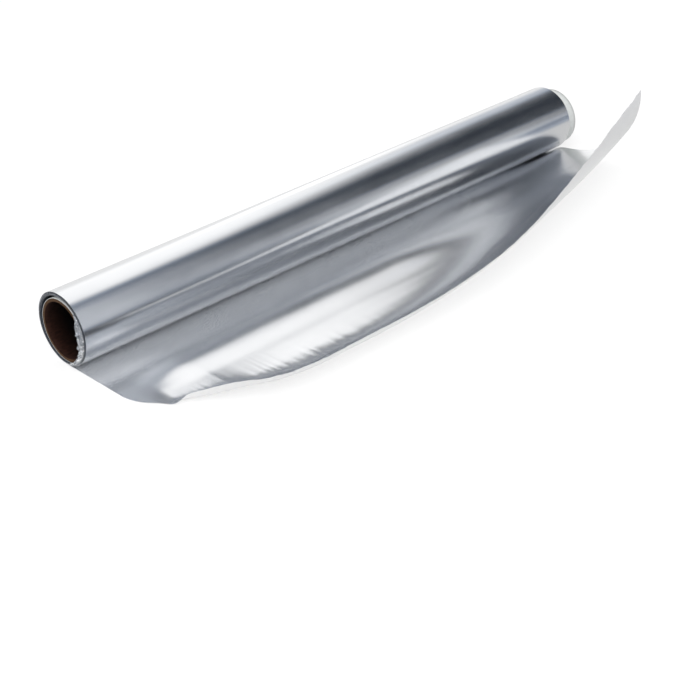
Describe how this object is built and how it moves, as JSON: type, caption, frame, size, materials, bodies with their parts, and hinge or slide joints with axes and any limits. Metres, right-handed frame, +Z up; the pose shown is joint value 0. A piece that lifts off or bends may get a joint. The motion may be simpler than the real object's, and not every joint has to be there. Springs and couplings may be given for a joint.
{
  "type": "aluminium foil roll",
  "caption": "Roll of household aluminium foil on a cardboard tube, with a loose torn tail that lies in front of the roll and curls up at its far corner.",
  "frame": {"origin": "on the axis of the cardboard tube, at the near end of the wound foil", "axes": "+X along the roll towards its far end, the loose tail leaves towards -Y, +Z up from the table it lies on"},
  "size_m": [0.3098, 0.1069, 0.0491],
  "materials": {
    "kraft_tube": "brown spiral-wound kraft board with a pale outer ply",
    "bright_foil": "rolled foil, bright on the outside of the roll and matte on the underside of the tail"
  },
  "bodies": {
    "root": {"core": "kraft_tube", "foil": "bright_foil"}
  },
  "joints": []
}
